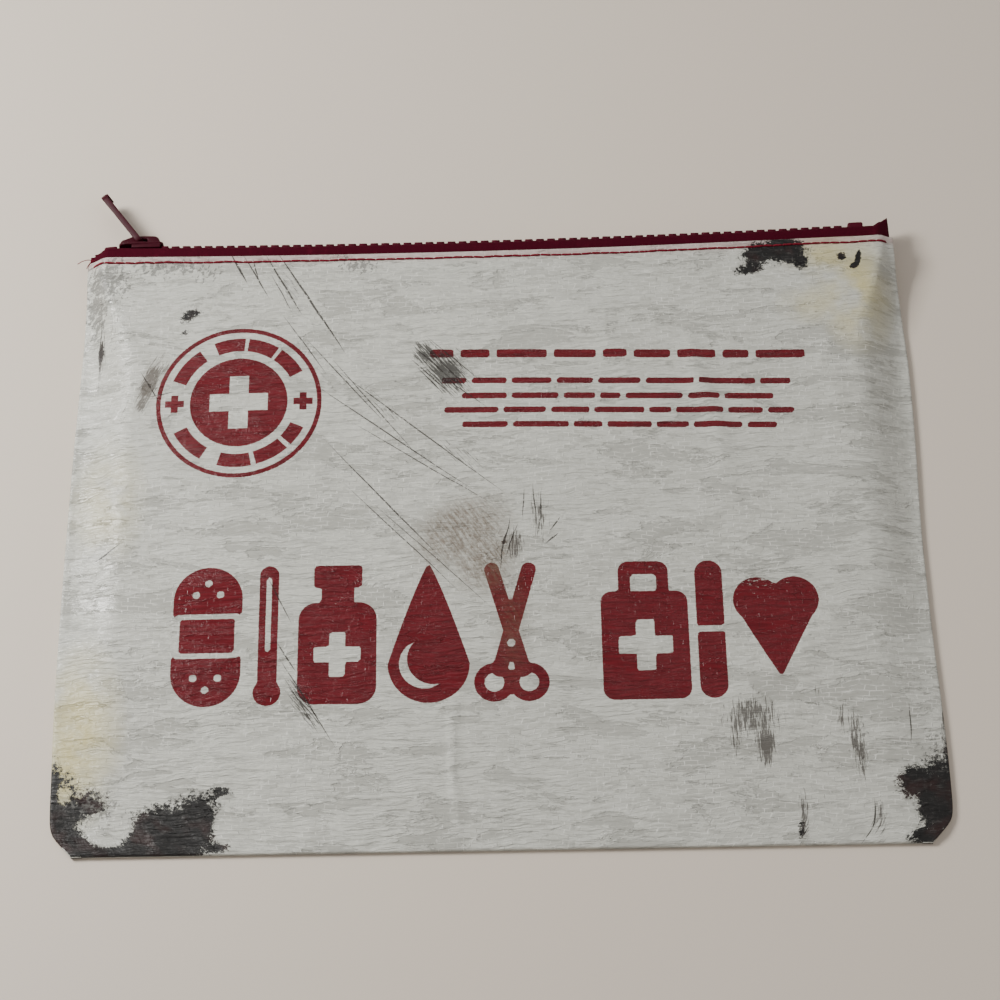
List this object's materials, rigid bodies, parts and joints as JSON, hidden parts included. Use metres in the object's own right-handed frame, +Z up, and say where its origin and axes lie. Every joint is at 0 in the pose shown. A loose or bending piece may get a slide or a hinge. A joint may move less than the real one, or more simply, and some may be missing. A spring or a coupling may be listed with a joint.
{
  "type": "first aid kit zip pouch",
  "caption": "Flat zip pouch of laminated woven fabric for a first aid kit, with a moulded-tooth zip along its top edge and a slider with a swinging pull tab.",
  "frame": {"origin": "middle of the back panel's underside, on the surface that the pouch lies on", "axes": "+X along the zip, from the closed slider to the bottom stop; +Y from the bottom seam to the zip; +Z up through the pouch, out of its printed front"},
  "size_m": [0.241, 0.2097, 0.0104],
  "materials": {
    "laminated_cloth": "woven polypropylene under a glossy clear laminate, printed in maroon",
    "zip_tape": "woven polyester tape",
    "tooth_plastic": "moulded acetal",
    "slider_paint": "baked enamel on die-cast zinc",
    "sewing_thread": "polyester sewing thread"
  },
  "bodies": {
    "pouch": {"front_panel": "laminated_cloth", "back_panel": "laminated_cloth", "front_zip_tape": "zip_tape", "back_zip_tape": "zip_tape", "front_tooth_row": "tooth_plastic", "back_tooth_row": "tooth_plastic", "front_top_stop": "tooth_plastic", "back_top_stop": "tooth_plastic", "bottom_stop": "tooth_plastic", "front_topstitch": "sewing_thread", "back_topstitch": "sewing_thread", "left_seam_thread": "sewing_thread", "right_seam_thread": "sewing_thread", "bottom_seam_thread": "sewing_thread"},
    "slider": {"slider_body": "slider_paint", "slider_crown": "slider_paint"},
    "pull": {"pull_tab": "slider_paint"}
  },
  "joints": [
    {"name": "slider_travel", "type": "slide", "parent": "pouch", "child": "slider", "axis": [0.9999, 0.012, 0], "range_m": [0, 0.2075], "deforming": ["front_tooth_row", "back_tooth_row"]},
    {"name": "pull_tab_swing", "type": "hinge", "parent": "slider", "child": "pull", "pos_m": [-0.1072, 0.1003, 0.0053], "axis": [0, 0, 1], "range_deg": [-122, 50]}
  ]
}
